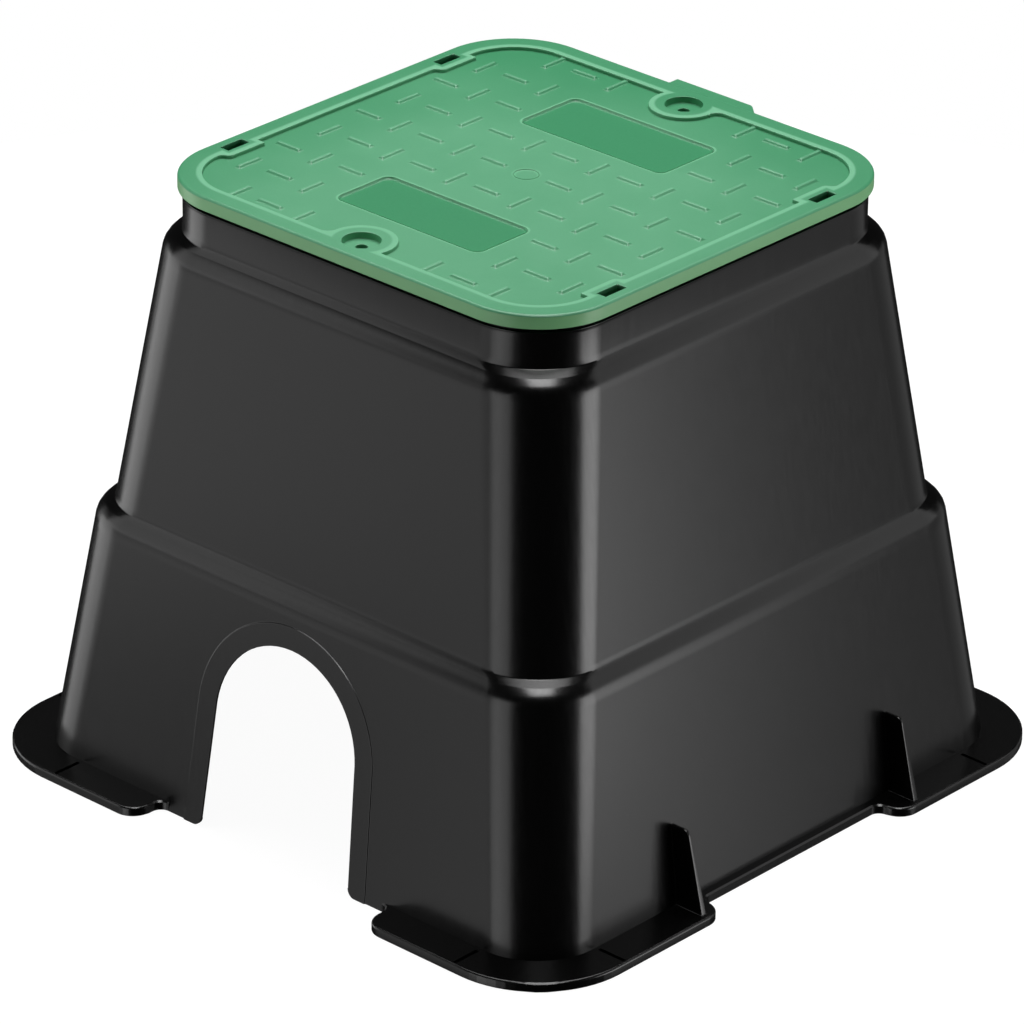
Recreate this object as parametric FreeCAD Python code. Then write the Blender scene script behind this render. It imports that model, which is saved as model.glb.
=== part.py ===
import FreeCAD
import Part
import math
import os

Vector = FreeCAD.Vector
UP = Vector(0, 0, 1)

# An irrigation valve box: a black stepped box that is open underneath, and its green lid.
# Millimetres, +Z up. The origin is the middle of the footprint, on the ground.
# X runs through the two walls with gussets, Y through the two walls with pipe arches.

# Box, outside
COLLAR_SIZE = 191.6
COLLAR_CORNER_R = 30.0
COLLAR_HEIGHT = 15.8
FOOT_CORNER_R = 27.0
LOWER_TIER_HEIGHT = 102.0
UPPER_TIER_HEIGHT = 106.8
SHOULDER_STEP = 4.25
WALL_SHOULDER_SLOPE_DEG = 46.0
WALL_SHOULDER_R = 13.0
WALL_HOLLOW_R = 6.5
CORNER_SHOULDER_SLOPE_DEG = 31.0
CORNER_SHOULDER_R = 9.0
CORNER_HOLLOW_R = 1.4
WALL_DRAFT_DEG = 7.1
WALL = 2.4
REBATE_HEIGHT = 1.7
REBATE_DEPTH = 1.2
LIP_HEIGHT = 1.7
LIP_REACH = 0.5
ROUND_STEPS = 4
HOLLOW_STEPS = 2

# Pipe arches in the -Y and +Y walls
ARCH_R = 34.7
ARCH_SPRING_Z = 46.6
ARCH_FOOT_HALF = 36.9
ARCH_FOOT_R = 3.6
BAND_WIDTH = 8.6
BAND_RELIEF = 0.5
BAND_WALL = 1.2

# Ground flange
FLANGE_REACH = 14.2
FLANGE_CORNER_R = 39.3
FLANGE_T = 3.6
FLANGE_CHAMFER = 0.6
FLANGE_END_R = 8.0
FLANGE_NOTCH_R = 4.0
FLANGE_GAP_Y_WALLS = 115.2
FLANGE_GAP_X_WALLS = 98.0
EDGE_STRIP_REACH = 3.1
NEAR_GROOVE_AT = 101.2
FAR_GROOVE_AT = 99.2
GROOVE_WIDTH = 1.6
GROOVE_DEPTH = 1.2
GROOVE_EDGE = 1.2

# Gussets on the -X and +X walls
NEAR_GUSSET_Y = -57.5
FAR_GUSSET_Y = 60.0
GUSSET_FOOT_T = 2.4
GUSSET_TOP_T = 1.2
GUSSET_TOP_Z = 34.5
GUSSET_TOP_REACH = 3.7
GUSSET_FOOT_REACH = 12.2
GUSSET_NOSE_R = 3.0

# Screw pillars inside the collar
PILLAR_R = 5.5
PILLAR_HEIGHT = 28.0
PILOT_R = 1.7
PILOT_DEPTH = 22.0

# Lid, outside
LID_OVERHANG = 1.7
LID_CORNER_R = 31.6
LID_RIM_HEIGHT = 5.4
LID_CHAMFER = 0.7
BORDER_WIDTH = 9.0
BORDER_INNER_R = 22.5
FIELD_DEPTH = 1.5
LID_WALL = 2.6

# Tread bars on the lid, in a staggered grid
BAR_LENGTH = 12.0
BAR_WIDTH = 2.6
BAR_HEIGHT = 0.9
BAR_SLOPE = 0.7
BAR_MARGIN_X = 10.5
BAR_MARGIN_Y = 5.5
BAR_ROWS = 4
BAR_COLUMNS = 5

# Recessed panels on the lid
PANEL_WIDTH = 69.5
PANEL_Y = 49.0
REAR_PANEL_DEPTH_Y = 31.0
FRONT_PANEL_DEPTH_Y = 28.0
PANEL_RECESS = 0.9
PANEL_CORNER_R = 3.6
PANEL_BEVEL = 0.6

# Gate mark at the middle of the lid
GATE_R = 4.6
GATE_DEPTH = 0.35

# Screw seats of the lid
SCREW_INSET = 12.3
SCREW_HOLE_R = 2.1
SEAT_R = 7.0
SEAT_DEPTH = 2.6
LOBE_R = 13.0
LOBE_BLEND_R = 4.0

# Clip slots and their pads
SLOT_INSET = 6.3
SLOT_Y = 56.0
SLOT_WIDTH = 4.1
SLOT_LENGTH = 10.6
SLOT_LIP = 1.8
SLOT_UNDERCUT = 1.0
PAD_WIDTH = 12.5
PAD_LENGTH = 18.4
PAD_BLEND = 5.0

# Lifting tab on the +Y edge
TAB_LENGTH = 36.5
TAB_REACH = 5.0
TAB_SLANT = 5.5
TAB_CORNER_R = 3.0
TAB_HEIGHT = 3.0
TAB_DROP = 0.5

# Lid, underneath
SPIGOT_CLEARANCE = 1.2
SPIGOT_WALL = 2.0
SPIGOT_DEPTH = 7.0
RIB_WALL = 1.8
RIB_DEPTH = 5.0
RIB_PITCH = 45.0
RIB_PAIRS = 1
CLIP_WIDTH = 9.0
CLIP_WALL = 2.0
CLIP_LENGTH = 15.0
CLIP_BARB = 1.6

DRAFT = math.tan(math.radians(WALL_DRAFT_DEG))
COLLAR_HALF = COLLAR_SIZE / 2
UPPER_SHOULDER_Z = LOWER_TIER_HEIGHT + UPPER_TIER_HEIGHT
LID_SEAT_Z = UPPER_SHOULDER_Z + COLLAR_HEIGHT
LID_TOP_Z = LID_SEAT_Z + LID_RIM_HEIGHT
FOOT_HALF = COLLAR_HALF + 2 * SHOULDER_STEP + DRAFT * UPPER_SHOULDER_Z
FLANGE_HALF = FOOT_HALF + FLANGE_REACH
LID_HALF = COLLAR_HALF + LID_OVERHANG
INNER_HALF = COLLAR_HALF - WALL
SPIGOT_HALF = INNER_HALF - SPIGOT_CLEARANCE
SPIGOT_CORNER_R = COLLAR_CORNER_R - WALL - SPIGOT_CLEARANCE
SCREW_Y = LID_HALF - SCREW_INSET
SLOT_X = LID_HALF - SLOT_INSET
LAP = 1.0


def rounded_square(half_x, half_y, radius, z):
    """A closed wire: a rectangle about the Z axis with round corners."""
    edges = []
    turn = math.sqrt(0.5)
    corners = [(1, -1), (1, 1), (-1, 1), (-1, -1)]
    starts = []
    for sx, sy in corners:
        centre = Vector(sx * (half_x - radius), sy * (half_y - radius), z)
        along_x = centre + Vector(sx * radius, 0, 0)
        along_y = centre + Vector(0, sy * radius, 0)
        middle = centre + Vector(sx * radius * turn, sy * radius * turn, 0)
        first, last = (along_y, along_x) if sx * sy < 0 else (along_x, along_y)
        starts.append((first, middle, last))
    for index, (first, middle, last) in enumerate(starts):
        edges.append(Part.Arc(first, middle, last).toShape())
        edges.append(Part.LineSegment(last, starts[(index + 1) % 4][0]).toShape())
    return Part.Wire(edges)


def block(x0, x1, y0, y1, z0, z1):
    """A box between two corners."""
    return Part.makeBox(x1 - x0, y1 - y0, z1 - z0, Vector(x0, y0, z0))


def rounded_block(half_x, half_y, radius, z0, z1):
    """A straight plate with round corners."""
    return Part.Face(rounded_square(half_x, half_y, radius, z0)).extrude(UP * (z1 - z0))


def loft(rings):
    """A solid through rings of (half size, corner radius, height), with straight walls between."""
    wires = [rounded_square(half, half, radius, z) for half, radius, z in rings]
    return Part.makeLoft(wires, True, True)


def edges_where(shape, test):
    """The edges of a shape whose two ends and middle all pass a test."""
    found = []
    for edge in shape.Edges:
        points = [vertex.Point for vertex in edge.Vertexes]
        points.append(edge.valueAt((edge.FirstParameter + edge.LastParameter) / 2))
        if all(test(point) for point in points):
            found.append(edge)
    return found


def shoulder_profile(slope_deg):
    """The box's outer line with sharp shoulders, from the ground up, as (half size, height)."""
    slope = math.radians(slope_deg)
    run = SHOULDER_STEP / (math.cos(slope) - DRAFT * math.sin(slope))
    out, down = run * math.cos(slope), run * math.sin(slope)
    lower_top = FOOT_HALF - SHOULDER_STEP - DRAFT * LOWER_TIER_HEIGHT
    return [
        (FOOT_HALF, 0.0),
        (lower_top + out, LOWER_TIER_HEIGHT - down),
        (lower_top, LOWER_TIER_HEIGHT),
        (COLLAR_HALF + out, UPPER_SHOULDER_Z - down),
        (COLLAR_HALF, UPPER_SHOULDER_Z),
        (COLLAR_HALF, LID_SEAT_Z),
    ]


def wall_profile():
    """The outer line down the middle of a wall, where the shoulders slope steeply."""
    return shoulder_profile(WALL_SHOULDER_SLOPE_DEG)


def corner_profile():
    """The outer line down a corner of the box, where the shoulders are flatter and crisper."""
    return shoulder_profile(CORNER_SHOULDER_SLOPE_DEG)


def rounded_corner(before, corner, after, radius, steps):
    """Points along the arc that rounds one corner of a profile."""
    to_before = Vector(before[0] - corner[0], before[1] - corner[1], 0).normalize()
    to_after = Vector(after[0] - corner[0], after[1] - corner[1], 0).normalize()
    half_angle = to_before.getAngle(to_after) / 2
    towards = (to_before + to_after).normalize()
    corner_point = Vector(corner[0], corner[1], 0)
    centre = corner_point + towards * (radius / math.sin(half_angle))
    start = corner_point + to_before * (radius / math.tan(half_angle)) - centre
    finish = corner_point + to_after * (radius / math.tan(half_angle)) - centre
    turn = start.getAngle(finish)
    points = []
    for step in range(steps + 1):
        share = step / steps
        spoke = start * math.sin((1 - share) * turn) + finish * math.sin(share * turn)
        point = centre + spoke / math.sin(turn)
        points.append((point.x, point.y))
    return points


def offset_line(profile, inset):
    """The same profile moved inwards, square to each of its stretches."""
    lines = []
    for (a0, z0), (a1, z1) in zip(profile, profile[1:]):
        length = math.hypot(a1 - a0, z1 - z0)
        shift_a, shift_z = -(z1 - z0) / length * inset, (a1 - a0) / length * inset
        lines.append((a0 + shift_a, z0 + shift_z, a1 - a0, z1 - z0))
    points = [(lines[0][0], lines[0][1])]
    for (a0, z0, da, dz), (b0, y0, db, dy) in zip(lines, lines[1:]):
        step = ((b0 - a0) * dy - (y0 - z0) * db) / (da * dy - dz * db)
        points.append((a0 + step * da, z0 + step * dz))
    last = lines[-1]
    points.append((last[0] + last[2], last[1] + last[3]))
    return points


def half_at(line, z):
    """The half size of a profile at a height, by straight lines between its points."""
    for (a0, z0), (a1, z1) in zip(line, line[1:]):
        if z <= z1:
            return a0 + (a1 - a0) * (z - z0) / (z1 - z0)
    return line[-1][0]


def corner_radius(z):
    """The box's outer corner radius at a height, away from the shoulders."""
    share = min(max(z / UPPER_SHOULDER_Z, 0.0), 1.0)
    return FOOT_CORNER_R + (COLLAR_CORNER_R - FOOT_CORNER_R) * share


def rounded_line(profile, shoulder_r, hollow_r):
    """A profile with its shoulders and the hollows above them rounded."""
    line = profile[:1]
    for index in range(1, len(profile) - 1):
        convex = index % 2 == 1
        radius, steps = (shoulder_r, ROUND_STEPS) if convex else (hollow_r, HOLLOW_STEPS)
        line += rounded_corner(profile[index - 1], profile[index], profile[index + 1], radius, steps)
    return line + profile[-1:]


def two_profile_rings(wall_line, corner_line, inset):
    """Rings that follow one line down the walls and another down the corners."""
    rings = []
    for half, z in wall_line:
        shift = (half - half_at(corner_line, z)) * math.sqrt(2) / (math.sqrt(2) - 1)
        rings.append((half, corner_radius(z) - inset + shift, z))
    return rings


def outer_body():
    """The stepped outside of the box, with its shoulders rounded."""
    wall_line = rounded_line(wall_profile(), WALL_SHOULDER_R, WALL_HOLLOW_R)
    corner_line = rounded_line(corner_profile(), CORNER_SHOULDER_R, CORNER_HOLLOW_R)
    return loft(two_profile_rings(wall_line, corner_line, 0.0))


def cavity():
    """The space inside the walls, open below and above."""
    wall_line = offset_line(wall_profile(), WALL)
    corner_line = offset_line(corner_profile(), WALL)
    rings = two_profile_rings(wall_line, corner_line, WALL)
    half, radius, z = rings[0]
    rings[0] = (half + DRAFT * (z + LAP), radius, -LAP)
    half, radius, z = rings[-1]
    rings[-1] = (half, radius, z + LAP)
    return loft(rings)


def arch_face(radius, foot_half, bottom, y):
    """An upright round-topped face with flared sides, in the plane of one wall."""
    left, right = Vector(-radius, y, ARCH_SPRING_Z), Vector(radius, y, ARCH_SPRING_Z)
    top = Vector(0, y, ARCH_SPRING_Z + radius)
    low_left, low_right = Vector(-foot_half, y, bottom), Vector(foot_half, y, bottom)
    edges = [
        Part.Arc(left, top, right).toShape(),
        Part.LineSegment(right, low_right).toShape(),
        Part.LineSegment(low_right, low_left).toShape(),
        Part.LineSegment(low_left, left).toShape(),
    ]
    return Part.Face(Part.Wire(edges))


def arch_band():
    """The raised band round one arch, standing a little proud of the -Y wall."""
    face = arch_face(ARCH_R + BAND_WIDTH, ARCH_FOOT_HALF + BAND_WIDTH, 0.0, -FLANGE_HALF)
    proud = [(half + BAND_RELIEF, corner_radius(z), z) for half, z in wall_profile()[:2]]
    return face.extrude(Vector(0, FLANGE_HALF, 0)).common(loft(proud))


def arch_thinning():
    """What is taken off the inside of the -Y wall behind the raised band."""
    face = arch_face(ARCH_R + BAND_WIDTH, ARCH_FOOT_HALF + BAND_WIDTH, -LAP, -FLANGE_HALF)
    inset = BAND_WALL - BAND_RELIEF
    behind = [(half - inset, corner_radius(z), z) for half, z in wall_profile()[:2]]
    half, radius, z = behind[0]
    behind[0] = (half + DRAFT * LAP, radius, -LAP)
    return face.extrude(Vector(0, FLANGE_HALF / 2, 0)).common(loft(behind))


def arch_cut():
    """What is taken out of one -Y wall for the pipe, with the feet of the wall rounded."""
    y = -FLANGE_HALF
    foot = ARCH_FOOT_R
    wide = ARCH_FOOT_HALF + foot
    turn = foot * (1 - math.sqrt(0.5))
    sides = []
    for side in (-1, 1):
        sides.append([
            Vector(side * ARCH_R, y, ARCH_SPRING_Z),
            Vector(side * ARCH_FOOT_HALF, y, foot),
            Vector(side * (ARCH_FOOT_HALF + turn), y, turn),
            Vector(side * wide, y, 0),
            Vector(side * wide, y, -LAP),
        ])
    left, right = sides
    edges = [Part.Arc(left[0], Vector(0, y, ARCH_SPRING_Z + ARCH_R), right[0]).toShape()]
    for points in sides:
        edges.append(Part.LineSegment(points[0], points[1]).toShape())
        edges.append(Part.Arc(points[1], points[2], points[3]).toShape())
        edges.append(Part.LineSegment(points[3], points[4]).toShape())
    edges.append(Part.LineSegment(left[4], right[4]).toShape())
    outline = Part.Wire(Part.__sortEdges__(edges))
    return Part.Face(outline).extrude(Vector(0, FLANGE_HALF / 2, 0))


def corner_pad():
    """The outline of the flange at the +X, -Y corner, as a face on the ground."""
    edge = FLANGE_HALF
    big = edge - FLANGE_CORNER_R
    inset = FOOT_HALF - FOOT_CORNER_R
    gap_x, gap_y = FLANGE_GAP_Y_WALLS / 2, FLANGE_GAP_X_WALLS / 2
    turn = math.sqrt(0.5)
    end = FLANGE_END_R
    hollow = FLANGE_NOTCH_R
    eased = end * (1 - turn)
    arcs = {
        1: Vector(gap_x - hollow + hollow * turn, -FOOT_HALF - hollow + hollow * turn, 0),
        3: Vector(gap_x + eased, -edge + eased, 0),
        5: Vector(big + FLANGE_CORNER_R * turn, -big - FLANGE_CORNER_R * turn, 0),
        7: Vector(edge - eased, -gap_y - eased, 0),
    }
    points = [
        Vector(gap_x - hollow, -inset, 0),
        Vector(gap_x - hollow, -FOOT_HALF, 0),
        Vector(gap_x, -FOOT_HALF - hollow, 0),
        Vector(gap_x, -edge + end, 0),
        Vector(gap_x + end, -edge, 0),
        Vector(big, -edge, 0),
        Vector(edge, -big, 0),
        Vector(edge, -gap_y - end, 0),
        Vector(edge - end, -gap_y, 0),
        Vector(inset, -gap_y, 0),
        Vector(inset, -inset, 0),
    ]
    edges = []
    for index, start in enumerate(points):
        finish = points[(index + 1) % len(points)]
        if index in arcs:
            edges.append(Part.Arc(start, arcs[index], finish).toShape())
        else:
            edges.append(Part.LineSegment(start, finish).toShape())
    return Part.Face(Part.Wire(edges))


def half_turn(shape):
    """A copy turned half way round the Z axis."""
    copy = shape.copy()
    copy.rotate(Vector(0, 0, 0), UP, 180)
    return copy


def four_corners(shape):
    """One corner's shape and its mirror images at the other three."""
    right = shape.fuse(shape.mirror(Vector(0, 0, 0), Vector(0, 1, 0)))
    return right.fuse(half_turn(right))


def ground_flange():
    """The flat flange: four corner pads joined by narrow strips along the X walls."""
    pads = four_corners(corner_pad().extrude(UP * FLANGE_T))
    gap = FLANGE_GAP_X_WALLS / 2
    strip_edge = FOOT_HALF + EDGE_STRIP_REACH
    strip = block(FOOT_HALF - FOOT_CORNER_R, strip_edge, -gap - LAP, gap + LAP, 0, FLANGE_T)
    plate = pads.fuse([strip, half_turn(strip)]).removeSplitter()

    def in_notch(p):
        return abs(abs(p.x) - strip_edge) < 1e-4 and abs(abs(p.y) - gap) < 1e-4

    def on_rim(p):
        outside = max(abs(p.x), abs(p.y)) > FOOT_HALF + EDGE_STRIP_REACH / 2
        return abs(p.z - FLANGE_T) < 1e-4 and outside

    plate = plate.makeFillet(FLANGE_NOTCH_R, edges_where(plate, in_notch))
    return plate.makeChamfer(FLANGE_CHAMFER, edges_where(plate, on_rim))


def gusset(y):
    """One upright web between the flange and the +X wall, thinner at its top."""
    foot_x, top_x = FOOT_HALF + GUSSET_FOOT_REACH, FOOT_HALF + GUSSET_TOP_REACH
    inner = FOOT_HALF - DRAFT * GUSSET_TOP_Z - LAP
    rings = []
    for thick, x, z in ((GUSSET_FOOT_T, foot_x, FLANGE_T / 2), (GUSSET_TOP_T, top_x, GUSSET_TOP_Z)):
        corners = [Vector(inner, y - thick / 2, z), Vector(x, y - thick / 2, z),
                   Vector(x, y + thick / 2, z), Vector(inner, y + thick / 2, z)]
        rings.append(Part.makePolygon(corners + corners[:1]))
    web = Part.makeLoft(rings, True, True)
    nose = edges_where(web, lambda p: abs(p.x - top_x) < 1e-4 and abs(p.z - GUSSET_TOP_Z) < 1e-4)
    return web.makeFillet(GUSSET_NOSE_R, nose)


def flange_grooves():
    """Narrow grooves across the flange, where its straight runs meet the corners."""
    outer = FLANGE_HALF - GROOVE_EDGE
    inner = FOOT_HALF + GROOVE_EDGE
    half = GROOVE_WIDTH / 2
    floor, top = FLANGE_T - GROOVE_DEPTH, FLANGE_T + LAP
    grooves = []
    for at, side in ((NEAR_GROOVE_AT, -1), (FAR_GROOVE_AT, 1)):
        y0, y1 = sorted((side * inner, side * outer))
        grooves.append(block(inner, outer, side * at - half, side * at + half, floor, top))
        grooves.append(block(at - half, at + half, y0, y1, floor, top))
    return grooves + [half_turn(groove) for groove in grooves]


def screw_pillar():
    """The pillar inside the -Y wall that the lid's screw bites into, and its pilot hole."""
    z0 = LID_SEAT_Z - PILLAR_HEIGHT
    pillar = Part.makeCylinder(PILLAR_R, PILLAR_HEIGHT, Vector(0, -SCREW_Y, z0))
    web = block(-PILLAR_R, PILLAR_R, -INNER_HALF - WALL / 2, -SCREW_Y, z0, LID_SEAT_Z)
    pilot = Part.makeCylinder(PILOT_R, PILOT_DEPTH + LAP, Vector(0, -SCREW_Y, LID_SEAT_Z - PILOT_DEPTH))
    return pillar.fuse(web), pilot


def collar_lip():
    """The lip round the collar under the lid's rim, drawn in towards its foot."""
    top = LID_SEAT_Z - REBATE_HEIGHT
    rings = [(COLLAR_HALF, COLLAR_CORNER_R, top - LIP_HEIGHT)]
    rings.append((COLLAR_HALF + LIP_REACH, COLLAR_CORNER_R + LIP_REACH, top))
    return loft(rings)


def rim_rebate():
    """The rebate that leaves the lid's seat narrower than the collar."""
    z0, z1 = LID_SEAT_Z - REBATE_HEIGHT, LID_SEAT_Z + LAP
    outer, inner = COLLAR_HALF + LIP_REACH + LAP, COLLAR_HALF - REBATE_DEPTH
    around = rounded_block(outer, outer, COLLAR_CORNER_R + LIP_REACH + LAP, z0, z1)
    return around.cut(rounded_block(inner, inner, COLLAR_CORNER_R - REBATE_DEPTH, z0, z1))


def valve_box():
    """The black box, one moulding."""
    webs = gusset(NEAR_GUSSET_Y).fuse(gusset(FAR_GUSSET_Y))
    band = arch_band()
    outside = outer_body().fuse([collar_lip(), ground_flange(), webs, half_turn(webs),
                                 band, half_turn(band)])
    thin = arch_thinning()
    shell = outside.cut(flange_grooves() + [cavity(), thin, half_turn(thin), rim_rebate()])
    pillar, pilot = screw_pillar()
    cut = arch_cut()
    shell = shell.fuse([pillar, half_turn(pillar)])
    return shell.cut([pilot, half_turn(pilot), cut, half_turn(cut)]).removeSplitter()


def tread_bar(x, y, along_x, z):
    """One raised bar with sloping sides, standing on the lid's field."""
    length, width = (BAR_LENGTH, BAR_WIDTH) if along_x else (BAR_WIDTH, BAR_LENGTH)
    foot_z = z - FIELD_DEPTH / 2
    ends = []
    for shrink, height in ((0.0, foot_z), (0.0, z), (BAR_SLOPE, z + BAR_HEIGHT)):
        half_x, half_y = length / 2 - shrink, width / 2 - shrink
        corners = [Vector(x + sx * half_x, y + sy * half_y, height)
                   for sx, sy in ((-1, -1), (1, -1), (1, 1), (-1, 1))]
        ends.append(Part.makePolygon(corners + corners[:1]))
    return Part.makeLoft(ends, True, True)


def bar_is_there(column, row):
    """Whether the grid has a bar here, clear of panels, screw seats, gate mark and corners."""
    if row == 0:
        return column != 0
    if abs(row) == 1:
        return True
    if abs(row) < BAR_ROWS:
        return abs(column) > 2
    return 1 < abs(column) < BAR_COLUMNS


def tread_bars(z):
    """All the tread bars, turned a quarter from one to the next."""
    bars = []
    field = LID_HALF - BORDER_WIDTH
    pitch_x, pitch_y = (field - BAR_MARGIN_X) / BAR_COLUMNS, (field - BAR_MARGIN_Y) / BAR_ROWS
    for row in range(-BAR_ROWS, BAR_ROWS + 1):
        for column in range(-BAR_COLUMNS, BAR_COLUMNS + 1):
            if bar_is_there(column, row):
                along_x = (row + column) % 2 == 1
                bars.append(tread_bar(column * pitch_x, row * pitch_y, along_x, z))
    return bars


def border_pad(y):
    """The border's wider stretch round one clip slot on the +X side: square end, then S-curve."""
    inner, edge = LID_HALF - PAD_WIDTH, LID_HALF - BORDER_WIDTH
    z = LID_TOP_Z - 2 * FIELD_DEPTH
    turn = 2 * math.atan((edge - inner) / PAD_BLEND)
    radius = PAD_BLEND / (2 * math.sin(turn))
    along, across = radius * math.sin(turn / 2), radius * (1 - math.cos(turn / 2))
    start = y - PAD_LENGTH / 2
    leave = y + PAD_LENGTH / 2 - PAD_BLEND / 2
    arrive = leave + PAD_BLEND
    middle = Vector((inner + edge) / 2, (leave + arrive) / 2, z)
    points = [
        Vector(inner, leave, z),
        Vector(inner, start, z),
        Vector(edge + LAP, start, z),
        Vector(edge + LAP, arrive, z),
        Vector(edge, arrive, z),
    ]
    edges = [Part.LineSegment(a, b).toShape() for a, b in zip(points, points[1:])]
    edges.append(Part.Arc(points[-1], Vector(edge - across, arrive - along, z), middle).toShape())
    edges.append(Part.Arc(middle, Vector(inner + across, leave + along, z), points[0]).toShape())
    return Part.Face(Part.Wire(edges)).extrude(UP * (2 * FIELD_DEPTH + LAP))


def screw_lobe(sign_y):
    """The border's round bulge at one screw seat, blended into the border on one side."""
    low, high = LID_TOP_Z - 2 * FIELD_DEPTH, LID_TOP_Z + LAP
    edge = LID_HALF - BORDER_WIDTH
    lobe = Part.makeCylinder(LOBE_R, high - low, Vector(0, SCREW_Y, low))
    reach = LOBE_R + LOBE_BLEND_R
    drop = edge - LOBE_BLEND_R - SCREW_Y
    centre_x = math.sqrt(reach ** 2 - drop ** 2)
    wedge = block(0, centre_x, edge - LOBE_BLEND_R, edge + LAP, low, high)
    hollow = Part.makeCylinder(LOBE_BLEND_R, high - low, Vector(centre_x, edge - LOBE_BLEND_R, low))
    lobe = lobe.fuse(wedge.cut(hollow))
    return lobe if sign_y > 0 else half_turn(lobe)


def sunk_field():
    """What is taken off the lid's top inside its border."""
    half = LID_HALF - BORDER_WIDTH
    floor = LID_TOP_Z - FIELD_DEPTH
    field = rounded_block(half, half, BORDER_INNER_R, floor, LID_TOP_Z + LAP)
    pads = [border_pad(SLOT_Y), border_pad(-SLOT_Y)]
    pads += [half_turn(pad) for pad in pads]
    return field.cut(pads + [screw_lobe(1), screw_lobe(-1)]).removeSplitter()


def panel_recess(y, depth_y, z):
    """One shallow panel with a bevelled edge, sunk into the field."""
    low = z - PANEL_RECESS
    mid = z - PANEL_RECESS + PANEL_BEVEL
    rings = []
    for grow, height in ((0.0, low), (PANEL_BEVEL, mid), (PANEL_BEVEL, z + PANEL_RECESS)):
        wire = rounded_square(PANEL_WIDTH / 2 - PANEL_BEVEL + grow, depth_y / 2 - PANEL_BEVEL + grow,
                              PANEL_CORNER_R - PANEL_BEVEL + grow, height)
        wire.translate(Vector(0, y, 0))
        rings.append(wire)
    return Part.makeLoft(rings, True, True)


def lifting_tab():
    """The tab that stands out of the lid's +Y edge, with one slanting end."""
    edge = LID_HALF
    top = LID_TOP_Z - TAB_DROP
    low = top - TAB_HEIGHT
    half = TAB_LENGTH / 2
    points = [
        Vector(-half, edge - LAP, low),
        Vector(-half, edge + TAB_REACH, low),
        Vector(half, edge + TAB_REACH, low),
        Vector(half + TAB_SLANT + LAP, edge - LAP, low),
    ]
    tab = Part.Face(Part.makePolygon(points + points[:1])).extrude(UP * TAB_HEIGHT)

    def slant_corner(p):
        return abs(p.x - half) < 1e-4 and abs(p.y - edge - TAB_REACH) < 1e-4

    return tab.makeFillet(TAB_CORNER_R, edges_where(tab, slant_corner))


def pillar_room(low, high):
    """The two spaces under the lid that the screw pillars stand in."""
    room = PILLAR_R + SPIGOT_CLEARANCE
    at_front = block(-room, room, -LID_HALF, room - SCREW_Y, low, high)
    return [at_front, half_turn(at_front)]


def spigot(top):
    """The locating wall under the lid, open at the clips and screw pillars."""
    low = LID_SEAT_Z - SPIGOT_DEPTH
    bore_half = SPIGOT_HALF - SPIGOT_WALL
    ring = rounded_block(SPIGOT_HALF, SPIGOT_HALF, SPIGOT_CORNER_R, low, top)
    bore = rounded_block(bore_half, bore_half, SPIGOT_CORNER_R - SPIGOT_WALL, low - LAP, top)
    gaps = pillar_room(low - LAP, LID_SEAT_Z)
    span = SLOT_LENGTH / 2 + CLIP_WALL
    for sign_x in (-1, 1):
        for sign_y in (-1, 1):
            x0, x1 = sorted((sign_x * (SLOT_X - SLOT_WIDTH), sign_x * LID_HALF))
            middle = sign_y * SLOT_Y
            gaps.append(block(x0, x1, middle - span, middle + span, low - LAP, top))
    return ring.cut([bore] + gaps)


def lid_ribs(top):
    """The grid of ribs under the lid, inside the spigot."""
    reach = SPIGOT_HALF
    low = top - RIB_DEPTH
    ribs = []
    for step in range(-RIB_PAIRS, RIB_PAIRS + 1):
        at = step * RIB_PITCH
        ribs.append(block(-reach, reach, at - RIB_WALL / 2, at + RIB_WALL / 2, low, top))
        ribs.append(block(at - RIB_WALL / 2, at + RIB_WALL / 2, -reach, reach, low, top))
    inside = rounded_block(reach, reach, SPIGOT_CORNER_R, low, top)
    return ribs[0].fuse(ribs[1:]).common(inside).cut(pillar_room(low, LID_SEAT_Z))


def clip(sign_x, sign_y, top):
    """One hooked clip, hanging just inboard of its slot."""
    face = SLOT_X - SLOT_WIDTH / 2 - SLOT_UNDERCUT
    low = top - CLIP_LENGTH
    y0 = sign_y * SLOT_Y - CLIP_WIDTH / 2
    outline = [
        Vector(face - CLIP_WALL, y0, top + LID_WALL / 2),
        Vector(face - CLIP_WALL, y0, low),
        Vector(face, y0, low),
        Vector(face + CLIP_BARB, y0, low + CLIP_BARB),
        Vector(face + CLIP_BARB, y0, low + 2 * CLIP_BARB),
        Vector(face, y0, low + 2 * CLIP_BARB),
        Vector(face, y0, top + LID_WALL / 2),
    ]
    hook = Part.Face(Part.makePolygon(outline + outline[:1])).extrude(Vector(0, CLIP_WIDTH, 0))
    return hook if sign_x > 0 else hook.mirror(Vector(0, 0, 0), Vector(1, 0, 0))


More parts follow.
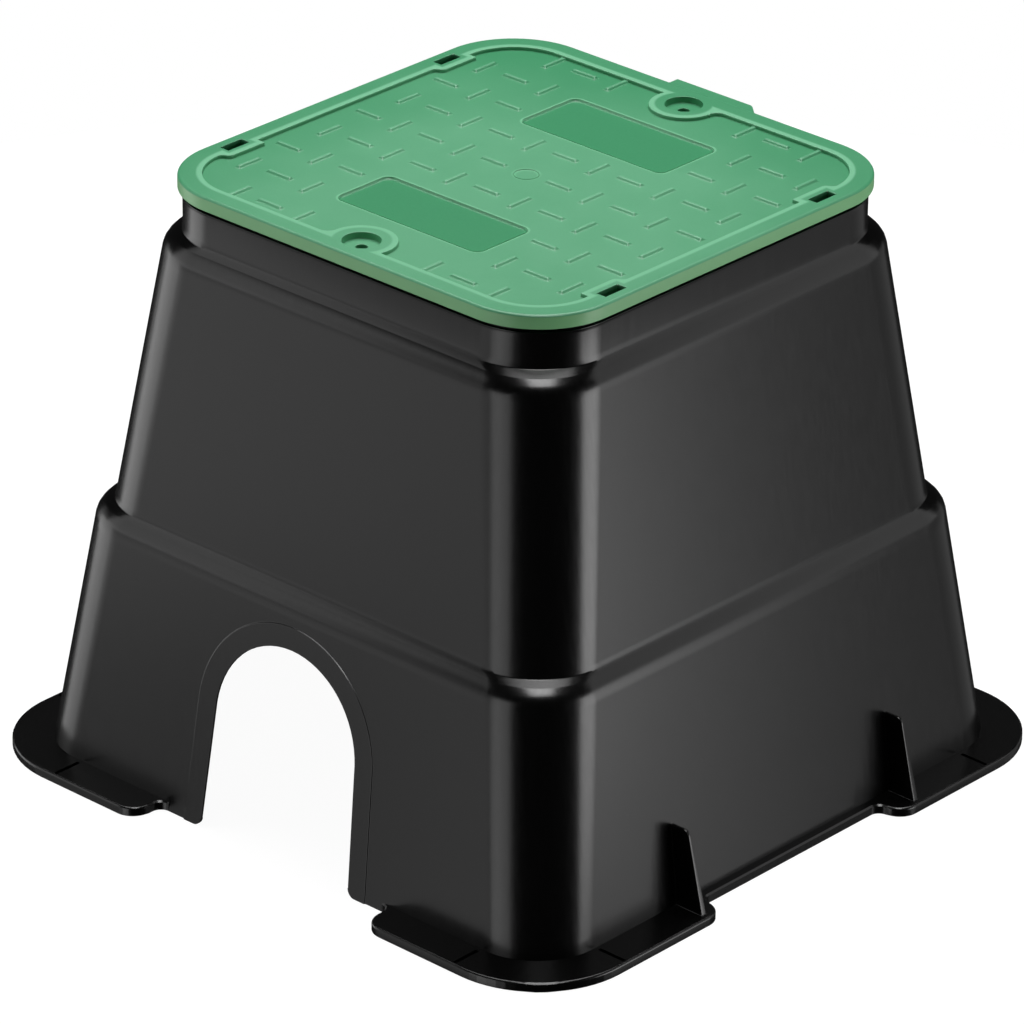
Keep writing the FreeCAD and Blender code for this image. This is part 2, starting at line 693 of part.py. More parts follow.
def lid():
    """The green lid, one moulding."""
    plate = rounded_block(LID_HALF, LID_HALF, LID_CORNER_R, LID_SEAT_Z, LID_TOP_Z)
    top_edge = edges_where(plate, lambda p: abs(p.z - LID_TOP_Z) < 1e-4)
    plate = plate.makeChamfer(LID_CHAMFER, top_edge)
    field_z = LID_TOP_Z - FIELD_DEPTH
    under = field_z - LID_WALL
    well = rounded_block(SPIGOT_HALF, SPIGOT_HALF, SPIGOT_CORNER_R, LID_SEAT_Z - LAP, under)
    corners = [(sign_x, sign_y) for sign_x in (-1, 1) for sign_y in (-1, 1)]
    hung = [spigot(under + LAP), lid_ribs(under + LAP)]
    hung += [clip(sign_x, sign_y, under) for sign_x, sign_y in corners]
    cuts = [
        panel_recess(PANEL_Y, REAR_PANEL_DEPTH_Y, field_z),
        panel_recess(-PANEL_Y, FRONT_PANEL_DEPTH_Y, field_z),
        Part.makeCylinder(GATE_R, LAP, Vector(0, 0, field_z - GATE_DEPTH)),
    ]
    for y in (-SCREW_Y, SCREW_Y):
        tall = under - LID_SEAT_Z + LAP
        hung.append(Part.makeCylinder(SEAT_R + LID_WALL, tall, Vector(0, y, LID_SEAT_Z)))
        cuts.append(Part.makeCylinder(SEAT_R, SEAT_DEPTH + LAP, Vector(0, y, LID_TOP_Z - SEAT_DEPTH)))
        cuts.append(Part.makeCylinder(SCREW_HOLE_R, 2 * LID_RIM_HEIGHT, Vector(0, y, LID_SEAT_Z - LAP)))
    for sign_x, sign_y in corners:
        x, y = sign_x * SLOT_X, sign_y * SLOT_Y
        wide, long = SLOT_WIDTH / 2, SLOT_LENGTH / 2
        under_lip = LID_TOP_Z - SLOT_LIP
        cuts.append(block(x - wide, x + wide, y - long, y + long, LID_SEAT_Z, LID_TOP_Z + LAP))
        wide, long = wide + SLOT_UNDERCUT, long + SLOT_UNDERCUT
        cuts.append(block(x - wide, x + wide, y - long, y + long, LID_SEAT_Z - LAP, under_lip))
    solid = plate.fuse(lifting_tab()).cut(well).fuse(hung).cut(sunk_field())
    return solid.fuse(tread_bars(field_z)).cut(cuts).removeSplitter()


def save(name, shape):
    """Write one piece, and say what it is like."""
    solid = shape.Solids[0]
    print(name, "solids", len(shape.Solids), "valid", shape.isValid(), "volume", round(solid.Volume))
    shape.exportStep("parts/" + name + ".step")


os.makedirs("parts", exist_ok=True)
save("valve_box_body", valve_box())
save("valve_box_lid", lid())
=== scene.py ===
# %% [markdown]
# # Irrigation valve box
# A black plastic box stands over garden valves and is buried up to its green lid.
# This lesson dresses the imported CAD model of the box: it smooths the two mouldings,
# gives each its plastic, and lights them as a product photographer would.

# %% Tools and measures
import math

import bpy
from mathutils import Matrix, Vector


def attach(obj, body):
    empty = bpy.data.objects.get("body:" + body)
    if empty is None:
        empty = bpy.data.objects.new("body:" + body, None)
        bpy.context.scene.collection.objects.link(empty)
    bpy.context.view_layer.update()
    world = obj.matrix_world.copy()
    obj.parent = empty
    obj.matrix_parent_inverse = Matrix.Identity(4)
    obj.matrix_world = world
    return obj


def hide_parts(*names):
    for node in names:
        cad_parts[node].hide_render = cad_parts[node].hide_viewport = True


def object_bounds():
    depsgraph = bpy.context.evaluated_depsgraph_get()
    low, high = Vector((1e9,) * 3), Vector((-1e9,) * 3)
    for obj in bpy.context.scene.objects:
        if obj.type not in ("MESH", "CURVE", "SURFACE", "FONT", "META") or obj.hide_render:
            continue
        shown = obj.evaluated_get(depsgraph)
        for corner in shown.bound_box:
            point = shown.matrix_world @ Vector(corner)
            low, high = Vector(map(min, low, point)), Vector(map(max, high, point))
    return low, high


MM = 0.001
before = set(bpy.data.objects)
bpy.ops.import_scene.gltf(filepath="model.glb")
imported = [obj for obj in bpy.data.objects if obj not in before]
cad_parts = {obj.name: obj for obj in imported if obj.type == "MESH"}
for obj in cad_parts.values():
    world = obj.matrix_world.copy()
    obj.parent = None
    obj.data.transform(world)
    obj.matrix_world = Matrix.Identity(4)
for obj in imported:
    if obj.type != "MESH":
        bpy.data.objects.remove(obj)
cad_low, cad_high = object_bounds()
print("CAD box in mm:", [round(side / MM, 1) for side in cad_high - cad_low])

# %% [markdown]
# ## Camera
# The box is seen from its corner, a little from above, through a long lens, so that
# its upright edges stay nearly parallel. The camera could be placed by eye. Here it is
# set from measured angles: it is turned round the upright axis, tipped down, rolled by
# less than a degree, and then moved straight back along its own view.

# %% Place the camera
VIEW_TURN = math.radians(42.22)
VIEW_HEIGHT = math.radians(26.25)
VIEW_ROLL = math.radians(0.78)
VIEW_DISTANCE = 2.5261
VIEW_TARGET = Vector((0, 0, 0.09349))

camera_data = bpy.data.cameras.new("camera")
camera_data.lens = 242.35
camera_data.sensor_width = 36
camera_data.shift_x = -0.0095
camera_data.shift_y = 0.0005
camera_data.clip_end = 50
camera = bpy.data.objects.new("camera", camera_data)
bpy.context.scene.collection.objects.link(camera)
turn = Matrix.Rotation(VIEW_TURN, 4, "Z")
tip = Matrix.Rotation(math.pi / 2 - VIEW_HEIGHT, 4, "X")
roll = Matrix.Rotation(VIEW_ROLL, 4, "Z")
back = Matrix.Translation((0, 0, VIEW_DISTANCE))
camera.matrix_world = Matrix.Translation(VIEW_TARGET) @ turn @ tip @ roll @ back
bpy.context.scene.camera = camera
print("camera at", [round(value, 3) for value in camera.matrix_world.translation])

# %% [markdown]
# ## Smooth skins
# The real box is moulded, so light slides over its round corners and shoulders without
# a break. The CAD model has the right shape, cut into loose flat triangles. It could be
# shaded smooth as it is, but the light would break at every triangle. Each moulding is
# therefore copied, its triangles are joined at their shared points, and the ones that
# lie flat beside each other are dissolved into whole faces. The CAD model itself is
# left alone.

# %% Copy a moulding and join its triangles
SMOOTH_ANGLE = math.radians(32)
FLAT_ANGLE = math.radians(0.4)
JOIN_DISTANCE = 0.002 * MM


def copied_moulding(name, node):
    """A copy of a CAD node with a mesh of its own, selected and active."""
    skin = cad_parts[node].copy()
    skin.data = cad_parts[node].data.copy()
    skin.name = skin.data.name = name
    skin.parent = None
    for key in list(skin.keys()):
        del skin[key]
    bpy.context.scene.collection.objects.link(skin)
    bpy.ops.object.select_all(action="DESELECT")
    skin.select_set(True)
    bpy.context.view_layer.objects.active = skin
    return skin


def join_triangles():
    """Makes whole faces of the active copy's triangles, and selects its sharp edges."""
    bpy.ops.mesh.customdata_custom_splitnormals_clear()
    bpy.ops.object.mode_set(mode="EDIT")
    bpy.ops.mesh.select_all(action="SELECT")
    bpy.ops.mesh.remove_doubles(threshold=JOIN_DISTANCE)
    bpy.ops.mesh.dissolve_limited(angle_limit=FLAT_ANGLE)
    bpy.ops.mesh.select_all(action="DESELECT")
    bpy.ops.mesh.edges_select_sharp(sharpness=SMOOTH_ANGLE)
    bpy.ops.object.mode_set(mode="OBJECT")


# %% [markdown]
# ## Eased edges
# A moulded edge is never quite sharp, so the edges get a small bevel, which catches a
# thin line of light. On the lid the modifier finds the edges by their angle. On the
# box, bevel weights choose them. Low down beside the wall and in the narrow grooves of
# the flange, edges meet so tightly that a bevel would shoot past them. Hardly any light
# reaches into those places, so their edges stay crisp.

# %% Choose the edges and ease them
BOX_EDGE_R = 0.3 * MM
LID_EDGE_R = 0.4 * MM
EDGE_STEPS = 2
FLANGE_TOP_Z = 3.6 * MM
LOW_DOWN_Z = FLANGE_TOP_Z + 0.1 * MM
BESIDE_WALL = 138.5 * MM
GROOVES_AT = (101.2 * MM, 99.2 * MM)
GROOVE_REACH = 0.9 * MM


def stays_crisp(point):
    """True low down beside the wall, and in a groove of the flange."""
    near, far = sorted((abs(point.x), abs(point.y)))
    in_groove = min(abs(near - at) for at in GROOVES_AT) < GROOVE_REACH
    return point.z < LOW_DOWN_Z and (far < BESIDE_WALL or in_groove)


def weigh_edges(mesh):
    """Bevel weight on the sharp edges, which are the selected ones, or none if crisp."""
    weights = mesh.attributes.new("bevel_weight_edge", "FLOAT", "EDGE")
    for edge in mesh.edges:
        crisp = all(stays_crisp(mesh.vertices[index].co) for index in edge.vertices)
        weights.data[edge.index].value = 1.0 if edge.select and not crisp else 0.0


def ease_edges(skin, edge_r, edge_choice):
    """A small bevel on the edges that are chosen, by WEIGHT or by ANGLE."""
    if edge_choice == "WEIGHT":
        weigh_edges(skin.data)
    ease = skin.modifiers.new("ease", "BEVEL")
    ease.width = edge_r
    ease.segments = EDGE_STEPS
    ease.limit_method = edge_choice
    ease.angle_limit = SMOOTH_ANGLE
    ease.use_clamp_overlap = False
    bpy.ops.object.modifier_apply(modifier="ease")


# %% [markdown]
# ## Smooth shading
# Faces are shaded smooth except across real edges. That alone would bend the light near the rim of
# every large flat wall. A weighted normal modifier lets the large faces keep their straight look
# beside the small round ones. Last, the skin gets its finish and is attached to the body it rides
# on, and the CAD node it stands for is hidden.

# %% Make the skin of one moulding
LARGE_FACE_WEIGHT = 60


def shade_smooth(skin):
    """Smooth shading over round faces, with the large flat ones kept straight."""
    bpy.ops.object.shade_smooth_by_angle(angle=SMOOTH_ANGLE)
    weigh = skin.modifiers.new("weigh", "WEIGHTED_NORMAL")
    weigh.keep_sharp = True
    weigh.weight = LARGE_FACE_WEIGHT
    bpy.ops.object.modifier_apply(modifier="weigh")


def smooth_skin(name, node, body, finish, edge_r, edge_choice):
    """A smooth copy of a CAD node, with eased edges, that stands for it."""
    skin = copied_moulding(name, node)
    join_triangles()
    ease_edges(skin, edge_r, edge_choice)
    shade_smooth(skin)
    skin.data.materials.clear()
    skin.data.materials.append(finish)
    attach(skin, body)
    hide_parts(node)
    print(name, "has", len(skin.data.polygons), "faces")


# %% [markdown]
# ## Ways to mix a plastic
# A flat colour never looks like plastic, so both plastics are mixed from nodes. They
# could be painted as pictures, but noise on Object coordinates needs no picture, has no
# seams, and stays in place on the moulding. These helpers are shared by both.

# %% Helpers for the plastics
EVENLY = (1, 1, 1)
RELIEF = 0.03 * MM


def start_material(name):
    """A new node material, with its shader and the Object coordinates."""
    material = bpy.data.materials.new(name)
    material.use_nodes = True
    nodes = material.node_tree.nodes
    shader = nodes["Principled BSDF"]
    place = nodes.new("ShaderNodeTexCoord")
    return material, nodes, material.node_tree.links, shader, place.outputs["Object"]


def noise_on(nodes, links, place, stretch, scale, detail):
    """A noise texture on Object coordinates, stretched along each axis."""
    mapping = nodes.new("ShaderNodeMapping")
    mapping.inputs["Scale"].default_value = stretch
    links.new(place, mapping.inputs["Vector"])
    noise = nodes.new("ShaderNodeTexNoise")
    noise.inputs["Scale"].default_value = scale
    noise.inputs["Detail"].default_value = detail
    links.new(mapping.outputs["Vector"], noise.inputs["Vector"])
    return noise.outputs["Fac"]


def remap(nodes, links, value, low, high):
    """The value from 0.3 to 0.7, where most of a noise lies, spread between two limits."""
    spread = nodes.new("ShaderNodeMapRange")
    spread.inputs["From Min"].default_value = 0.3
    spread.inputs["From Max"].default_value = 0.7
    spread.inputs["To Min"].default_value = low
    spread.inputs["To Max"].default_value = high
    links.new(value, spread.inputs["Value"])
    return spread.outputs["Result"]


def blend(nodes, links, mask, under, over):
    """One colour laid over another, as far as a mask says. The one under may be plain."""
    mix = nodes.new("ShaderNodeMix")
    mix.data_type = "RGBA"
    if isinstance(under, tuple):
        mix.inputs[6].default_value = under
    else:
        links.new(under, mix.inputs[6])
    mix.inputs[7].default_value = over
    links.new(mask, mix.inputs[0])
    return mix.outputs[2]


def add_relief(nodes, links, shader, pattern, strength):
    """A relief of a few hundredths of a millimetre, in the pattern of a noise."""
    bump = nodes.new("ShaderNodeBump")
    bump.inputs["Strength"].default_value = strength
    bump.inputs["Distance"].default_value = RELIEF
    links.new(pattern, bump.inputs["Height"])
    links.new(bump.outputs["Normal"], shader.inputs["Normal"])


# %% [markdown]
# ## Black plastic of the box
# The box is black polypropylene with a satin skin: hardly any colour of its own, and
# long soft reflections. Plastic drawn off a steel core also keeps very fine upright
# drag lines. They could be cut into the mesh, but they are far too fine for that. They
# are made here as a stretched noise, which changes the roughness a little and lifts the
# surface by a hair.

# %% Mix the black plastic
DEEP_BLACK = (0.0004, 0.0004, 0.0004, 1)
CLOUDED_BLACK = (0.0008, 0.0008, 0.0008, 1)
ALONG_THE_DRAW = (1, 1, 0.04)

black_plastic, nodes, links, shader, place = start_material("black_plastic")
drag = noise_on(nodes, links, place, ALONG_THE_DRAW, 900, 3)
cloud = noise_on(nodes, links, place, EVENLY, 14, 2)
tone = remap(nodes, links, cloud, 0, 1)
black = blend(nodes, links, tone, DEEP_BLACK, CLOUDED_BLACK)
links.new(black, shader.inputs["Base Color"])
links.new(remap(nodes, links, drag, 0.22, 0.26), shader.inputs["Roughness"])
add_relief(nodes, links, shader, drag, 0.2)
print("black plastic mixed")

# %% [markdown]
# ## Places on the lid
# The lid's colour changes from place to place, and part of it is painted sheen and painted
# highlights. Each colour could be a material of its own on picked faces, but then it would end at
# a hard line. One material does it all instead, with masks that are worked out from the place on
# the lid, so that the colours fade into each other. The lid is nearly the same in all four
# quarters, so most masks are made for one quarter, and the others are folded onto it.

# %% Helpers for the masks


def soft_step(nodes, links, value, start, end):
    """A smooth mask that rises from 0 to 1 between two values."""
    spread = nodes.new("ShaderNodeMapRange")
    spread.interpolation_type = "SMOOTHSTEP"
    spread.inputs["From Min"].default_value = start
    spread.inputs["From Max"].default_value = end
    links.new(value, spread.inputs["Value"])
    return spread.outputs["Result"]


def number_step(nodes, links, operation, first, second=0.0):
    """One step of arithmetic on two numbers, each of them plain or from a node."""
    step = nodes.new("ShaderNodeMath")
    step.operation = operation
    for socket, value in zip(step.inputs, (first, second)):
        if isinstance(value, float):
            socket.default_value = value
        else:
            links.new(value, socket)
    return step.outputs["Value"]


def place_step(nodes, links, operation, first, second=(0, 0, 0)):
    """One step of arithmetic on a place. A length or distance gives a number."""
    step = nodes.new("ShaderNodeVectorMath")
    step.operation = operation
    links.new(first, step.inputs[0])
    step.inputs[1].default_value = second
    return step.outputs["Value" if operation in ("LENGTH", "DISTANCE") else "Vector"]


def split(nodes, links, place):
    """The three coordinates of a place, each on its own."""
    apart = nodes.new("ShaderNodeSeparateXYZ")
    links.new(place, apart.inputs["Vector"])
    return apart.outputs["X"], apart.outputs["Y"], apart.outputs["Z"]


def fold(nodes, links, place, middle=(0, 0, 0)):
    """The place, seen flat, with all four quarters round a middle folded onto one."""
    flat = place_step(nodes, links, "MULTIPLY", place, (1, 1, 0))
    from_middle = place_step(nodes, links, "SUBTRACT", flat, middle)
    return place_step(nodes, links, "ABSOLUTE", from_middle)


def reach(nodes, links, quarter, corner):
    """How far a place lies outside a square with a given corner, round the corner too."""
    past = place_step(nodes, links, "SUBTRACT", quarter, corner)
    past = place_step(nodes, links, "MAXIMUM", past)
    return place_step(nodes, links, "LENGTH", past)


# %% [markdown]
# ## Rim and border
# The rim is the lid's upright side, and the border is the raised frame on top, which
# widens round the screw seats and the clip slots. Their faces could be picked by hand,
# but both follow one square. A place belongs to the rim or the border by its distance
# outside that square, which makes the round corners by itself. The lobes round the
# seats and the pads round the slots are added as circles and boxes.

# %% Masks for the rim and the border
SQUARE_CORNER = Vector((65.9, 65.9, 0)) * MM
RIM_CORNER_R = 31.6 * MM
BORDER_CORNER_R = 22.5 * MM
LID_TOP_Z = cad_high.z
TAB_TOP_Z = LID_TOP_Z - 0.5 * MM
SEAT_MIDDLE = Vector((0, 85.2, 0)) * MM
SEAT_LOBE_R = 13 * MM
CLIP_PAD_X = 85 * MM
CLIP_PAD_Y = 56 * MM
CLIP_PAD_HALF = 9.2 * MM


def rim_mask(nodes, links, quarter, height):
    """1 on the lid's upright rim, below the top of the tab."""
    out = reach(nodes, links, quarter, SQUARE_CORNER)
    outside = soft_step(nodes, links, out, RIM_CORNER_R - 0.3 * MM, RIM_CORNER_R - 0.1 * MM)
    below = soft_step(nodes, links, height, TAB_TOP_Z - 0.2 * MM, TAB_TOP_Z - 0.4 * MM)
    return number_step(nodes, links, "MULTIPLY", outside, below)


def border_depth(nodes, links, quarter):
    """How deep a place lies inside the border, with its screw lobes and clip pads."""
    out = reach(nodes, links, quarter, SQUARE_CORNER)
    in_border = number_step(nodes, links, "SUBTRACT", out, BORDER_CORNER_R)
    from_seat = place_step(nodes, links, "DISTANCE", quarter, SEAT_MIDDLE)
    in_lobe = number_step(nodes, links, "SUBTRACT", SEAT_LOBE_R, from_seat)
    x, y, _ = split(nodes, links, quarter)
    from_pad = number_step(nodes, links, "SUBTRACT", y, CLIP_PAD_Y)
    from_pad = number_step(nodes, links, "ABSOLUTE", from_pad)
    along_pad = number_step(nodes, links, "SUBTRACT", CLIP_PAD_HALF, from_pad)
    across_pad = number_step(nodes, links, "SUBTRACT", x, CLIP_PAD_X)
    in_pad = number_step(nodes, links, "MINIMUM", along_pad, across_pad)
    depth = number_step(nodes, links, "MAXIMUM", in_border, in_lobe)
    return number_step(nodes, links, "MAXIMUM", depth, in_pad)


# %% [markdown]
# ## Sunk panels
# Two panels are sunk into the tread field, one in front and a slightly larger one
# behind. Their floors could be found by their outlines too, but they lie at a height of
# their own, so the height alone finds them, once the mould mark in the middle and the
# screw seats are shut out. Their brims do need the outlines.

# %% Masks for the panels
FIELD_Z = LID_TOP_Z - 1.5 * MM
PANEL_FLOOR_Z = FIELD_Z - 0.9 * MM
PANELS_FROM_Y = 33 * MM
PANELS_TO_Y = 66 * MM
PANEL_FADE = 0.4 * MM
PANEL_CORNER_R = 3.6 * MM
REAR_PANEL = Vector((0, 49, 0)) * MM
REAR_PANEL_CORNER = Vector((31.15, 11.9, 0)) * MM
FRONT_PANEL = Vector((0, -49, 0)) * MM
FRONT_PANEL_CORNER = Vector((31.15, 10.4, 0)) * MM


def panel_mask(nodes, links, place):
    """1 on the floors of the two sunk panels."""
    _, y, z = split(nodes, links, place)
    off_floor = number_step(nodes, links, "SUBTRACT", z, PANEL_FLOOR_Z)
    off_floor = number_step(nodes, links, "ABSOLUTE", off_floor)
    level = soft_step(nodes, links, off_floor, 0.5 * MM, 0.3 * MM)
    from_middle = number_step(nodes, links, "ABSOLUTE", y)
    begun = soft_step(nodes, links, from_middle, PANELS_FROM_Y, PANELS_FROM_Y + PANEL_FADE)
    not_over = soft_step(nodes, links, from_middle, PANELS_TO_Y, PANELS_TO_Y - PANEL_FADE)
    inside = number_step(nodes, links, "MULTIPLY", begun, not_over)
    return number_step(nodes, links, "MULTIPLY", level, inside)


def brim_mask(nodes, links, place, middle, corner):
    """1 over one sunk panel and on a narrow band round it."""
    out = reach(nodes, links, fold(nodes, links, place, middle), corner)
    return soft_step(nodes, links, out, PANEL_CORNER_R + 1.2 * MM, PANEL_CORNER_R + 0.6 * MM)


# %% [markdown]
# ## Painted edge highlights
# The raised edges of the lid are painted pale, as highlights where light catches them: the crests
# of the tread bars, the inner edge of the border, the brims of the panels and the round mould mark
# in the middle. These edges could be found from the curve of the surface, but only one of
# Blender's render engines can do that. The heights and outlines of the lid give them just as well.

# %% Mask for the painted edge highlights
MOULD_MARK_R = 4.6 * MM
MOULD_MARK_HIGHLIGHT = 0.5


def painted_edge_highlights(nodes, links, place, height, quarter, depth):
    """1 where the lid is painted pale as a highlight."""
    crest = soft_step(nodes, links, height, FIELD_Z + 0.45 * MM, FIELD_Z + 1.5 * MM)
    edge = soft_step(nodes, links, depth, 2.9 * MM, 1.7 * MM)
    raised = number_step(nodes, links, "MULTIPLY", crest, edge)
    rear = brim_mask(nodes, links, place, REAR_PANEL, REAR_PANEL_CORNER)
    front = brim_mask(nodes, links, place, FRONT_PANEL, FRONT_PANEL_CORNER)
    round_panels = number_step(nodes, links, "MAXIMUM", rear, front)
    off_floor = soft_step(nodes, links, height, PANEL_FLOOR_Z + 0.2 * MM, PANEL_FLOOR_Z + 0.5 * MM)
    brims = number_step(nodes, links, "MULTIPLY", round_panels, off_floor)
    from_mark = place_step(nodes, links, "LENGTH", quarter)
    from_mark = number_step(nodes, links, "SUBTRACT", from_mark, MOULD_MARK_R)
    from_mark = number_step(nodes, links, "ABSOLUTE", from_mark)
    mark = soft_step(nodes, links, from_mark, 1.1 * MM, 0.5 * MM)
    mark = number_step(nodes, links, "MULTIPLY", mark, MOULD_MARK_HIGHLIGHT)
    edge_highlight = number_step(nodes, links, "MAXIMUM", raised, brims)
    return number_step(nodes, links, "MAXIMUM", edge_highlight, mark)


# %% [markdown]
# ## Green plastic of the lid
# The lid is green so that it disappears in a lawn. Its tread field has a fine grain, and a painted
# sheen lies over it, mottled at random, which fades towards the back. The two sunk panel floors
# are left out of the painted sheen, so they stay darker. The raised edges get painted highlights,
# and the rim is painted paler and yellower than the top, for the light on its upright side. The
# colours are laid over each other in that order, each as far as its mask says.

# %% Mask for the painted sheen
# A patch of painted sheen, strongest round a middle a little in front, fades out towards the back.
SHEEN_MIDDLE = Vector((14 * MM, -30 * MM, FIELD_Z))
SHEEN_R = 50 * MM
SHEEN_END_R = 160 * MM
SHEEN_DRIFT = 12 * MM
BORDER_SHEEN = 0.3


def painted_sheen_mask(nodes, links, place, depth):
    """How much painted sheen lies on the top: a mottled patch, less on the panels."""
    cloud = noise_on(nodes, links, place, EVENLY, 18, 3)
    drift = remap(nodes, links, cloud, -SHEEN_DRIFT, SHEEN_DRIFT)
    away = place_step(nodes, links, "DISTANCE", place, SHEEN_MIDDLE)
    away = number_step(nodes, links, "ADD", away, drift)
    sheen_patch = soft_step(nodes, links, away, SHEEN_END_R, SHEEN_R)
    on_field = number_step(nodes, links, "SUBTRACT", sheen_patch, panel_mask(nodes, links, place))
    on_border = soft_step(nodes, links, depth, 0.0, 0.5 * MM)
    on_border = number_step(nodes, links, "MULTIPLY", on_border, BORDER_SHEEN)
    sheen = number_step(nodes, links, "MAXIMUM", on_field, on_border)
    mottle = remap(nodes, links, noise_on(nodes, links, place, EVENLY, 45, 4), 0.86, 1.08)
    return number_step(nodes, links, "MULTIPLY", sheen, mottle)


# %% Mix the green plastic
# The first colour is the bare green, and the second a painted sheen laid over it.
BARE_GREEN = (0.042, 0.3, 0.128, 1)
SHEEN_GREEN = (0.124, 0.424, 0.226, 1)
# A painted highlight for the raised edges.
HIGHLIGHT_GREEN = (0.2, 0.56, 0.325, 1)
# The rim is painted paler and yellower than the top, for the light on its upright side.
LIT_RIM_GREEN = (0.187, 0.475, 0.208, 1)

green_plastic, nodes, links, shader, place = start_material("green_plastic")
quarter = fold(nodes, links, place)
depth = border_depth(nodes, links, quarter)
_, _, height = split(nodes, links, place)
sheen = painted_sheen_mask(nodes, links, place, depth)
edge_highlight = painted_edge_highlights(nodes, links, place, height, quarter, depth)
rim = rim_mask(nodes, links, quarter, height)
green = blend(nodes, links, sheen, BARE_GREEN, SHEEN_GREEN)
green = blend(nodes, links, edge_highlight, green, HIGHLIGHT_GREEN)
green = blend(nodes, links, rim, green, LIT_RIM_GREEN)
links.new(green, shader.inputs["Base Color"])
grain = noise_on(nodes, links, place, EVENLY, 1400, 2)
links.new(remap(nodes, links, grain, 0.34, 0.42), shader.inputs["Roughness"])
add_relief(nodes, links, shader, grain, 0.25)
print("green plastic mixed")

# %% [markdown]
# ## The two mouldings
# With both plastics mixed, each moulding gets its skin. They could share one size of
# bevel, but the lid is handled and trodden on, so its edges are a little rounder.

# %% Dress the two mouldings
smooth_skin("box_skin", "valve_box_body", "box", black_plastic, BOX_EDGE_R, "WEIGHT")
smooth_skin("lid_skin", "valve_box_lid", "lid", green_plastic, LID_EDGE_R, "ANGLE")

# %% [markdown]
# ## Floor and background
# The box stands on a plain pale sweep, as in a catalogue. A white floor and background
# lit by lamps would do, but they would put a grey veil on the black plastic. They are
# therefore white to the camera only. To all other light the floor is ordinary pale
# paint that no reflection shows, and the background is nearly dark. What the camera
# sees of the floor has a thin layer of paint over its glow, to take the box's shadow.

# %% Lay the floor
FLOOR_R = 0.6
FLOOR_SIDES = 128
FLOOR_GLOW = 0.96
FLOOR_PAINT = (0.8, 0.8, 0.8, 1)
THIN_PAINT = (0.12, 0.12, 0.12, 1)


def for_camera_only(nodes, links, for_light, for_camera, target):
    """Shows one shader to the camera and another to all other light."""
    path = nodes.new("ShaderNodeLightPath")
    choose = nodes.new("ShaderNodeMixShader")
    links.new(path.outputs["Is Camera Ray"], choose.inputs["Fac"])
    links.new(for_light, choose.inputs[1])
    links.new(for_camera, choose.inputs[2])
    links.new(choose.outputs["Shader"], target)


bpy.ops.mesh.primitive_circle_add(vertices=FLOOR_SIDES, radius=FLOOR_R, fill_type="NGON",
                                  location=(0, 0, 0))
floor = bpy.context.object
floor.name = "floor"
floor_paint, nodes, links, shader, _ = start_material("floor_paint")
shader.inputs["Base Color"].default_value = FLOOR_PAINT
shader.inputs["Roughness"].default_value = 0.9
glow = nodes.new("ShaderNodeEmission")
glow.inputs["Strength"].default_value = FLOOR_GLOW
thin = nodes.new("ShaderNodeBsdfDiffuse")
thin.inputs["Color"].default_value = THIN_PAINT
both = nodes.new("ShaderNodeAddShader")
links.new(glow.outputs["Emission"], both.inputs[0])
links.new(thin.outputs["BSDF"], both.inputs[1])
for_camera_only(nodes, links, shader.outputs["BSDF"], both.outputs["Shader"],
                nodes["Material Output"].inputs["Surface"])
floor.data.materials.append(floor_paint)
floor.visible_glossy = False
floor.visible_shadow = False
print("floor laid")

# %% Light the background
WHITE = (1, 1, 1, 1)
ROOM_LIGHT = 0.015

world = bpy.data.worlds.new("studio")
bpy.context.scene.world = world
world.use_nodes = True
nodes, links = world.node_tree.nodes, world.node_tree.links
dim = nodes["Background"]
dim.inputs["Color"].default_value = WHITE
dim.inputs["Strength"].default_value = ROOM_LIGHT
white = nodes.new("ShaderNodeBackground")
white.inputs["Color"].default_value = WHITE
white.inputs["Strength"].default_value = 1
for_camera_only(nodes, links, dim.outputs["Background"], white.outputs["Background"],
                nodes["World Output"].inputs["Surface"])
print("background lit")

# %% [markdown]
# ## Soft boxes
# Catalogue photographs of black plastic are lit by its reflections. Soft boxes stand
# left and right of the camera. The gap between them shows in the round front corner as
# a black band with a bright line at each side. One box on each side would do, but its
# hard edge would show in the walls, so wide dim boxes overlap the narrow bright ones
# and the light fades out in steps. They stand close, so a flat wall fades too. From
# high up, a key box puts a glint on the shoulders and a roof box lights the lid.

# %% Hang the soft boxes
LIT_POINT = Vector((0, 0, 0.12))
UPRIGHT_DISTANCE = 0.85


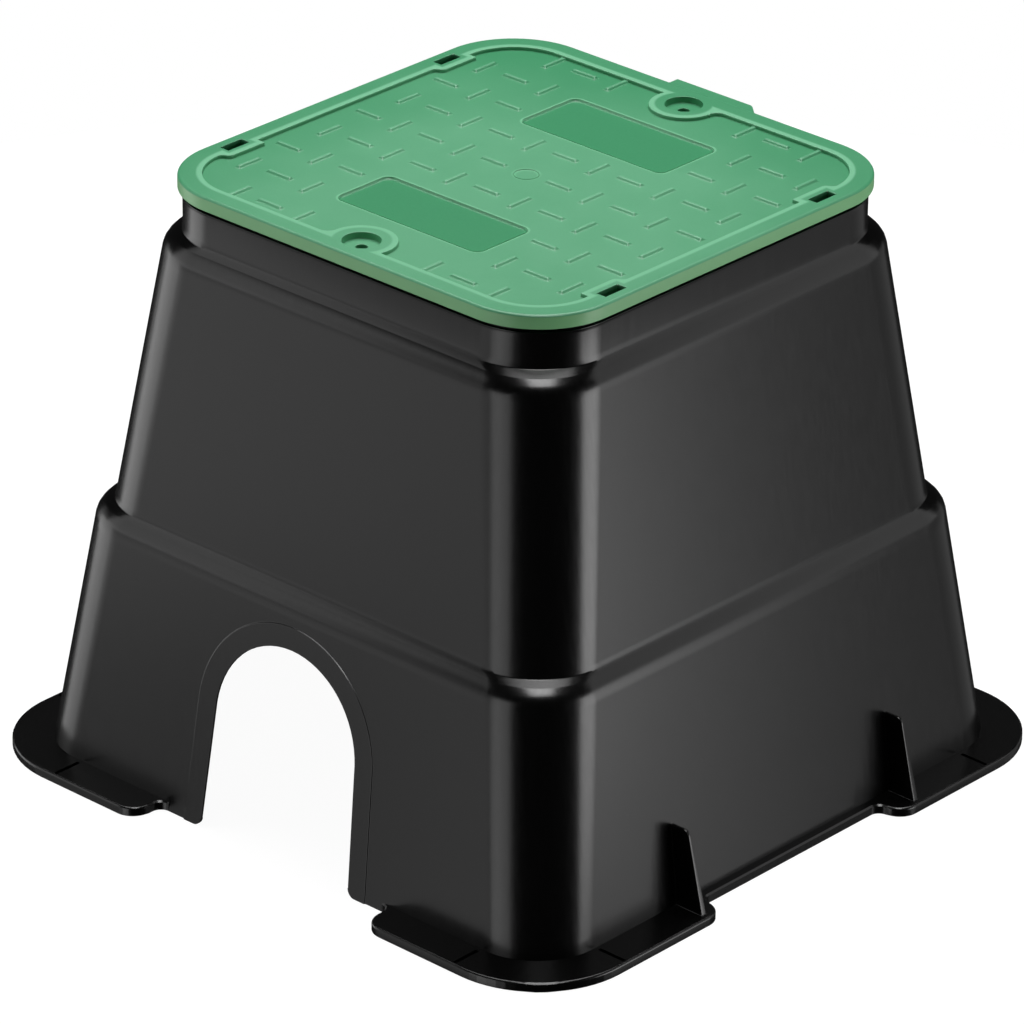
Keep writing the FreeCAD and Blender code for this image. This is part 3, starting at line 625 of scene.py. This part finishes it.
def soft_box(name, azimuth, height, distance, across, tall, radiance):
    """An area lamp that faces the box, seen from it at a compass angle and a height angle."""
    data = bpy.data.lights.new(name, "AREA")
    data.shape = "RECTANGLE"
    data.size = across
    data.size_y = tall
    data.energy = radiance * across * tall * math.pi
    lamp = bpy.data.objects.new(name, data)
    turn = Matrix.Rotation(math.radians(azimuth), 4, "Z")
    tip = Matrix.Rotation(math.radians(90 - height), 4, "X")
    back = Matrix.Translation((0, 0, distance))
    lamp.matrix_world = Matrix.Translation(LIT_POINT) @ turn @ tip @ back
    bpy.context.scene.collection.objects.link(lamp)
    lamp.visible_camera = False
    return lamp


def upright_box(name, azimuth, low, high, across, radiance):
    """A soft box that stands upright, between two heights above the floor."""
    lamp = soft_box(name, azimuth, 0, UPRIGHT_DISTANCE, across, high - low, radiance)
    lamp.location.z = (low + high) / 2
    return lamp


upright_box("left_box", -66, -0.3, 0.22, 0.46, 1.4)
upright_box("left_wide", -62, -0.16, 0.3, 0.94, 0.5)
upright_box("left_high", -50, 0.22, 0.7, 0.52, 1.2)
upright_box("left_base", -38, -0.5, 0.15, 0.52, 0.36)
upright_box("front_box", -1, -0.5, 0.28, 0.4, 1.35)
upright_box("front_wide", -16, -0.5, 0.28, 0.5, 0.35)
upright_box("right_box", 109, -0.22, 0.25, 0.37, 3.4)
upright_box("right_mid", 113, -0.14, 0.25, 0.46, 1.1)
upright_box("right_low", 119, -0.5, -0.14, 0.3, 0.6)
upright_box("right_fill", 150, -0.4, 0.22, 0.9, 0.26)
upright_box("right_high", 139, 0.2, 0.8, 0.55, 0.85)
key_box = soft_box("key_box", 50, 66, 1.7, 0.74, 0.9, 9.5)
key_box.visible_diffuse = False
soft_box("roof_box", 222, 72, 1.6, 1.5, 1.3, 4.85)
print("soft boxes hung")

# %% [markdown]
# ## Picture settings
# The Standard view shows each colour about as it is written. Other views would bend them.

# %% Set the view
bpy.context.scene.view_settings.view_transform = "Standard"
